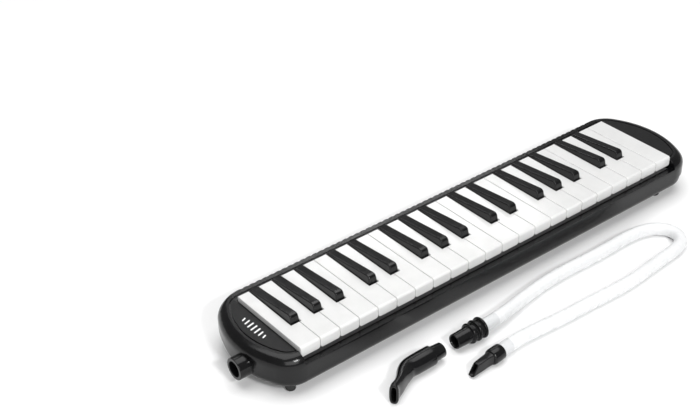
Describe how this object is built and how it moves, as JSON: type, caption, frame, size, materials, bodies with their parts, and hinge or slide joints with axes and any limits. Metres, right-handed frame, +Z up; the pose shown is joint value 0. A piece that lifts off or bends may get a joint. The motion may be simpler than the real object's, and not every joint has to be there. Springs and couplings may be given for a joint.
{
  "type": "melodica",
  "caption": "Reed keyboard blown through a socket at its low end: black case, hinged white and black keys, short mouthpiece and a mouthpiece hose lying in front.",
  "frame": {"origin": "on the table plane, which the feet stand on, under the middle of the case", "axes": "+X along the keyboard towards the high notes, -Y towards the fronts of the keys, +Z up"},
  "size_m": [0.5005, 0.1775, 0.0484],
  "materials": {
    "case_plastic": "satin black ABS",
    "fitting_plastic": "gloss black",
    "white_key_plastic": "gloss white",
    "black_key_plastic": "satin black",
    "foot_rubber": "matt",
    "seal_rubber": "matt",
    "chamber_plastic": "matt",
    "plate_aluminium": "mill",
    "reed_brass": "bright",
    "screw_steel": "plated",
    "felt": "felt",
    "hose_plastic": "translucent soft vinyl"
  },
  "bodies": {
    "case": {"top_case": "case_plastic", "bottom_case": "case_plastic", "feet": "foot_rubber", "inlet_socket": "fitting_plastic", "inlet_seal": "seal_rubber", "air_chamber": "chamber_plastic", "chamber_gasket": "seal_rubber", "valve_plate": "plate_aluminium", "reed_plate": "plate_aluminium", "reeds": "reed_brass", "reed_rivets": "reed_brass", "chamber_screws": "screw_steel", "case_screws": "screw_steel", "key_axle": "screw_steel", "axle_brackets": "chamber_plastic", "stop_felt": "felt", "key_springs": "screw_steel", "drain_spring": "screw_steel"},
    "key_F3": {"key_F3": "white_key_plastic"},
    "key_Fs3": {"key_Fs3": "black_key_plastic"},
    "key_G3": {"key_G3": "white_key_plastic"},
    "key_Gs3": {"key_Gs3": "black_key_plastic"},
    "key_A3": {"key_A3": "white_key_plastic"},
    "key_As3": {"key_As3": "black_key_plastic"},
    "key_B3": {"key_B3": "white_key_plastic"},
    "key_C4": {"key_C4": "white_key_plastic"},
    "key_Cs4": {"key_Cs4": "black_key_plastic"},
    "key_D4": {"key_D4": "white_key_plastic"},
    "key_Ds4": {"key_Ds4": "black_key_plastic"},
    "key_E4": {"key_E4": "white_key_plastic"},
    "key_F4": {"key_F4": "white_key_plastic"},
    "key_Fs4": {"key_Fs4": "black_key_plastic"},
    "key_G4": {"key_G4": "white_key_plastic"},
    "key_Gs4": {"key_Gs4": "black_key_plastic"},
    "key_A4": {"key_A4": "white_key_plastic"},
    "key_As4": {"key_As4": "black_key_plastic"},
    "key_B4": {"key_B4": "white_key_plastic"},
    "key_C5": {"key_C5": "white_key_plastic"},
    "key_Cs5": {"key_Cs5": "black_key_plastic"},
    "key_D5": {"key_D5": "white_key_plastic"},
    "key_Ds5": {"key_Ds5": "black_key_plastic"},
    "key_E5": {"key_E5": "white_key_plastic"},
    "key_F5": {"key_F5": "white_key_plastic"},
    "key_Fs5": {"key_Fs5": "black_key_plastic"},
    "key_G5": {"key_G5": "white_key_plastic"},
    "key_Gs5": {"key_Gs5": "black_key_plastic"},
    "key_A5": {"key_A5": "white_key_plastic"},
    "key_As5": {"key_As5": "black_key_plastic"},
    "key_B5": {"key_B5": "white_key_plastic"},
    "key_C6": {"key_C6": "white_key_plastic"},
    "key_Cs6": {"key_Cs6": "black_key_plastic"},
    "key_D6": {"key_D6": "white_key_plastic"},
    "key_Ds6": {"key_Ds6": "black_key_plastic"},
    "key_E6": {"key_E6": "white_key_plastic"},
    "key_F6": {"key_F6": "white_key_plastic"},
    "drain_button": {"drain_button": "fitting_plastic"},
    "loose_mouthpiece": {"short_mouthpiece": "fitting_plastic"},
    "hose": {"hose_connector": "fitting_plastic", "hose_tube": "hose_plastic", "hose_mouthpiece": "fitting_plastic"}
  },
  "joints": [
    {"name": "key_F3_press", "type": "hinge", "parent": "case", "child": "key_F3", "pos_m": [0, 0.012, 0.033], "axis": [1, 0, 0], "range_deg": [0, 4], "stiffness_Nm_per_rad": 0.15, "springref_deg": -14.32, "deforming": ["key_springs"]},
    {"name": "key_Fs3_press", "type": "hinge", "parent": "case", "child": "key_Fs3", "pos_m": [0, 0.012, 0.033], "axis": [1, 0, 0], "range_deg": [0, 6], "stiffness_Nm_per_rad": 0.15, "springref_deg": -14.32, "deforming": ["key_springs"]},
    {"name": "key_G3_press", "type": "hinge", "parent": "case", "child": "key_G3", "pos_m": [0, 0.012, 0.033], "axis": [1, 0, 0], "range_deg": [0, 4], "stiffness_Nm_per_rad": 0.15, "springref_deg": -14.32, "deforming": ["key_springs"]},
    {"name": "key_Gs3_press", "type": "hinge", "parent": "case", "child": "key_Gs3", "pos_m": [0, 0.012, 0.033], "axis": [1, 0, 0], "range_deg": [0, 6], "stiffness_Nm_per_rad": 0.15, "springref_deg": -14.32, "deforming": ["key_springs"]},
    {"name": "key_A3_press", "type": "hinge", "parent": "case", "child": "key_A3", "pos_m": [0, 0.012, 0.033], "axis": [1, 0, 0], "range_deg": [0, 4], "stiffness_Nm_per_rad": 0.15, "springref_deg": -14.32, "deforming": ["key_springs"]},
    {"name": "key_As3_press", "type": "hinge", "parent": "case", "child": "key_As3", "pos_m": [0, 0.012, 0.033], "axis": [1, 0, 0], "range_deg": [0, 6], "stiffness_Nm_per_rad": 0.15, "springref_deg": -14.32, "deforming": ["key_springs"]},
    {"name": "key_B3_press", "type": "hinge", "parent": "case", "child": "key_B3", "pos_m": [0, 0.012, 0.033], "axis": [1, 0, 0], "range_deg": [0, 4], "stiffness_Nm_per_rad": 0.15, "springref_deg": -14.32, "deforming": ["key_springs"]},
    {"name": "key_C4_press", "type": "hinge", "parent": "case", "child": "key_C4", "pos_m": [0, 0.012, 0.033], "axis": [1, 0, 0], "range_deg": [0, 4], "stiffness_Nm_per_rad": 0.15, "springref_deg": -14.32, "deforming": ["key_springs"]},
    {"name": "key_Cs4_press", "type": "hinge", "parent": "case", "child": "key_Cs4", "pos_m": [0, 0.012, 0.033], "axis": [1, 0, 0], "range_deg": [0, 6], "stiffness_Nm_per_rad": 0.15, "springref_deg": -14.32, "deforming": ["key_springs"]},
    {"name": "key_D4_press", "type": "hinge", "parent": "case", "child": "key_D4", "pos_m": [0, 0.012, 0.033], "axis": [1, 0, 0], "range_deg": [0, 4], "stiffness_Nm_per_rad": 0.15, "springref_deg": -14.32, "deforming": ["key_springs"]},
    {"name": "key_Ds4_press", "type": "hinge", "parent": "case", "child": "key_Ds4", "pos_m": [0, 0.012, 0.033], "axis": [1, 0, 0], "range_deg": [0, 6], "stiffness_Nm_per_rad": 0.15, "springref_deg": -14.32, "deforming": ["key_springs"]},
    {"name": "key_E4_press", "type": "hinge", "parent": "case", "child": "key_E4", "pos_m": [0, 0.012, 0.033], "axis": [1, 0, 0], "range_deg": [0, 4], "stiffness_Nm_per_rad": 0.15, "springref_deg": -14.32, "deforming": ["key_springs"]},
    {"name": "key_F4_press", "type": "hinge", "parent": "case", "child": "key_F4", "pos_m": [0, 0.012, 0.033], "axis": [1, 0, 0], "range_deg": [0, 4], "stiffness_Nm_per_rad": 0.15, "springref_deg": -14.32, "deforming": ["key_springs"]},
    {"name": "key_Fs4_press", "type": "hinge", "parent": "case", "child": "key_Fs4", "pos_m": [0, 0.012, 0.033], "axis": [1, 0, 0], "range_deg": [0, 6], "stiffness_Nm_per_rad": 0.15, "springref_deg": -14.32, "deforming": ["key_springs"]},
    {"name": "key_G4_press", "type": "hinge", "parent": "case", "child": "key_G4", "pos_m": [0, 0.012, 0.033], "axis": [1, 0, 0], "range_deg": [0, 4], "stiffness_Nm_per_rad": 0.15, "springref_deg": -14.32, "deforming": ["key_springs"]},
    {"name": "key_Gs4_press", "type": "hinge", "parent": "case", "child": "key_Gs4", "pos_m": [0, 0.012, 0.033], "axis": [1, 0, 0], "range_deg": [0, 6], "stiffness_Nm_per_rad": 0.15, "springref_deg": -14.32, "deforming": ["key_springs"]},
    {"name": "key_A4_press", "type": "hinge", "parent": "case", "child": "key_A4", "pos_m": [0, 0.012, 0.033], "axis": [1, 0, 0], "range_deg": [0, 4], "stiffness_Nm_per_rad": 0.15, "springref_deg": -14.32, "deforming": ["key_springs"]},
    {"name": "key_As4_press", "type": "hinge", "parent": "case", "child": "key_As4", "pos_m": [0, 0.012, 0.033], "axis": [1, 0, 0], "range_deg": [0, 6], "stiffness_Nm_per_rad": 0.15, "springref_deg": -14.32, "deforming": ["key_springs"]},
    {"name": "key_B4_press", "type": "hinge", "parent": "case", "child": "key_B4", "pos_m": [0, 0.012, 0.033], "axis": [1, 0, 0], "range_deg": [0, 4], "stiffness_Nm_per_rad": 0.15, "springref_deg": -14.32, "deforming": ["key_springs"]},
    {"name": "key_C5_press", "type": "hinge", "parent": "case", "child": "key_C5", "pos_m": [0, 0.012, 0.033], "axis": [1, 0, 0], "range_deg": [0, 4], "stiffness_Nm_per_rad": 0.15, "springref_deg": -14.32, "deforming": ["key_springs"]},
    {"name": "key_Cs5_press", "type": "hinge", "parent": "case", "child": "key_Cs5", "pos_m": [0, 0.012, 0.033], "axis": [1, 0, 0], "range_deg": [0, 6], "stiffness_Nm_per_rad": 0.15, "springref_deg": -14.32, "deforming": ["key_springs"]},
    {"name": "key_D5_press", "type": "hinge", "parent": "case", "child": "key_D5", "pos_m": [0, 0.012, 0.033], "axis": [1, 0, 0], "range_deg": [0, 4], "stiffness_Nm_per_rad": 0.15, "springref_deg": -14.32, "deforming": ["key_springs"]},
    {"name": "key_Ds5_press", "type": "hinge", "parent": "case", "child": "key_Ds5", "pos_m": [0, 0.012, 0.033], "axis": [1, 0, 0], "range_deg": [0, 6], "stiffness_Nm_per_rad": 0.15, "springref_deg": -14.32, "deforming": ["key_springs"]},
    {"name": "key_E5_press", "type": "hinge", "parent": "case", "child": "key_E5", "pos_m": [0, 0.012, 0.033], "axis": [1, 0, 0], "range_deg": [0, 4], "stiffness_Nm_per_rad": 0.15, "springref_deg": -14.32, "deforming": ["key_springs"]},
    {"name": "key_F5_press", "type": "hinge", "parent": "case", "child": "key_F5", "pos_m": [0, 0.012, 0.033], "axis": [1, 0, 0], "range_deg": [0, 4], "stiffness_Nm_per_rad": 0.15, "springref_deg": -14.32, "deforming": ["key_springs"]},
    {"name": "key_Fs5_press", "type": "hinge", "parent": "case", "child": "key_Fs5", "pos_m": [0, 0.012, 0.033], "axis": [1, 0, 0], "range_deg": [0, 6], "stiffness_Nm_per_rad": 0.15, "springref_deg": -14.32, "deforming": ["key_springs"]},
    {"name": "key_G5_press", "type": "hinge", "parent": "case", "child": "key_G5", "pos_m": [0, 0.012, 0.033], "axis": [1, 0, 0], "range_deg": [0, 4], "stiffness_Nm_per_rad": 0.15, "springref_deg": -14.32, "deforming": ["key_springs"]},
    {"name": "key_Gs5_press", "type": "hinge", "parent": "case", "child": "key_Gs5", "pos_m": [0, 0.012, 0.033], "axis": [1, 0, 0], "range_deg": [0, 6], "stiffness_Nm_per_rad": 0.15, "springref_deg": -14.32, "deforming": ["key_springs"]},
    {"name": "key_A5_press", "type": "hinge", "parent": "case", "child": "key_A5", "pos_m": [0, 0.012, 0.033], "axis": [1, 0, 0], "range_deg": [0, 4], "stiffness_Nm_per_rad": 0.15, "springref_deg": -14.32, "deforming": ["key_springs"]},
    {"name": "key_As5_press", "type": "hinge", "parent": "case", "child": "key_As5", "pos_m": [0, 0.012, 0.033], "axis": [1, 0, 0], "range_deg": [0, 6], "stiffness_Nm_per_rad": 0.15, "springref_deg": -14.32, "deforming": ["key_springs"]},
    {"name": "key_B5_press", "type": "hinge", "parent": "case", "child": "key_B5", "pos_m": [0, 0.012, 0.033], "axis": [1, 0, 0], "range_deg": [0, 4], "stiffness_Nm_per_rad": 0.15, "springref_deg": -14.32, "deforming": ["key_springs"]},
    {"name": "key_C6_press", "type": "hinge", "parent": "case", "child": "key_C6", "pos_m": [0, 0.012, 0.033], "axis": [1, 0, 0], "range_deg": [0, 4], "stiffness_Nm_per_rad": 0.15, "springref_deg": -14.32, "deforming": ["key_springs"]},
    {"name": "key_Cs6_press", "type": "hinge", "parent": "case", "child": "key_Cs6", "pos_m": [0, 0.012, 0.033], "axis": [1, 0, 0], "range_deg": [0, 6], "stiffness_Nm_per_rad": 0.15, "springref_deg": -14.32, "deforming": ["key_springs"]},
    {"name": "key_D6_press", "type": "hinge", "parent": "case", "child": "key_D6", "pos_m": [0, 0.012, 0.033], "axis": [1, 0, 0], "range_deg": [0, 4], "stiffness_Nm_per_rad": 0.15, "springref_deg": -14.32, "deforming": ["key_springs"]},
    {"name": "key_Ds6_press", "type": "hinge", "parent": "case", "child": "key_Ds6", "pos_m": [0, 0.012, 0.033], "axis": [1, 0, 0], "range_deg": [0, 6], "stiffness_Nm_per_rad": 0.15, "springref_deg": -14.32, "deforming": ["key_springs"]},
    {"name": "key_E6_press", "type": "hinge", "parent": "case", "child": "key_E6", "pos_m": [0, 0.012, 0.033], "axis": [1, 0, 0], "range_deg": [0, 4], "stiffness_Nm_per_rad": 0.15, "springref_deg": -14.32, "deforming": ["key_springs"]},
    {"name": "key_F6_press", "type": "hinge", "parent": "case", "child": "key_F6", "pos_m": [0, 0.012, 0.033], "axis": [1, 0, 0], "range_deg": [0, 4], "stiffness_Nm_per_rad": 0.15, "springref_deg": -14.32, "deforming": ["key_springs"]},
    {"name": "drain_press", "type": "slide", "parent": "case", "child": "drain_button", "axis": [0, 0, 1], "range_m": [0, 0.002], "stiffness_N_per_m": 300, "springref_m": -0.004, "deforming": ["drain_spring"]},
    {"name": "mouthpiece_lift", "type": "slide", "parent": "case", "child": "loose_mouthpiece", "axis": [0, 0, 1], "range_m": [0, 0.1]},
    {"name": "hose_lift", "type": "slide", "parent": "case", "child": "hose", "axis": [0, 0, 1], "range_m": [0, 0.1]}
  ]
}
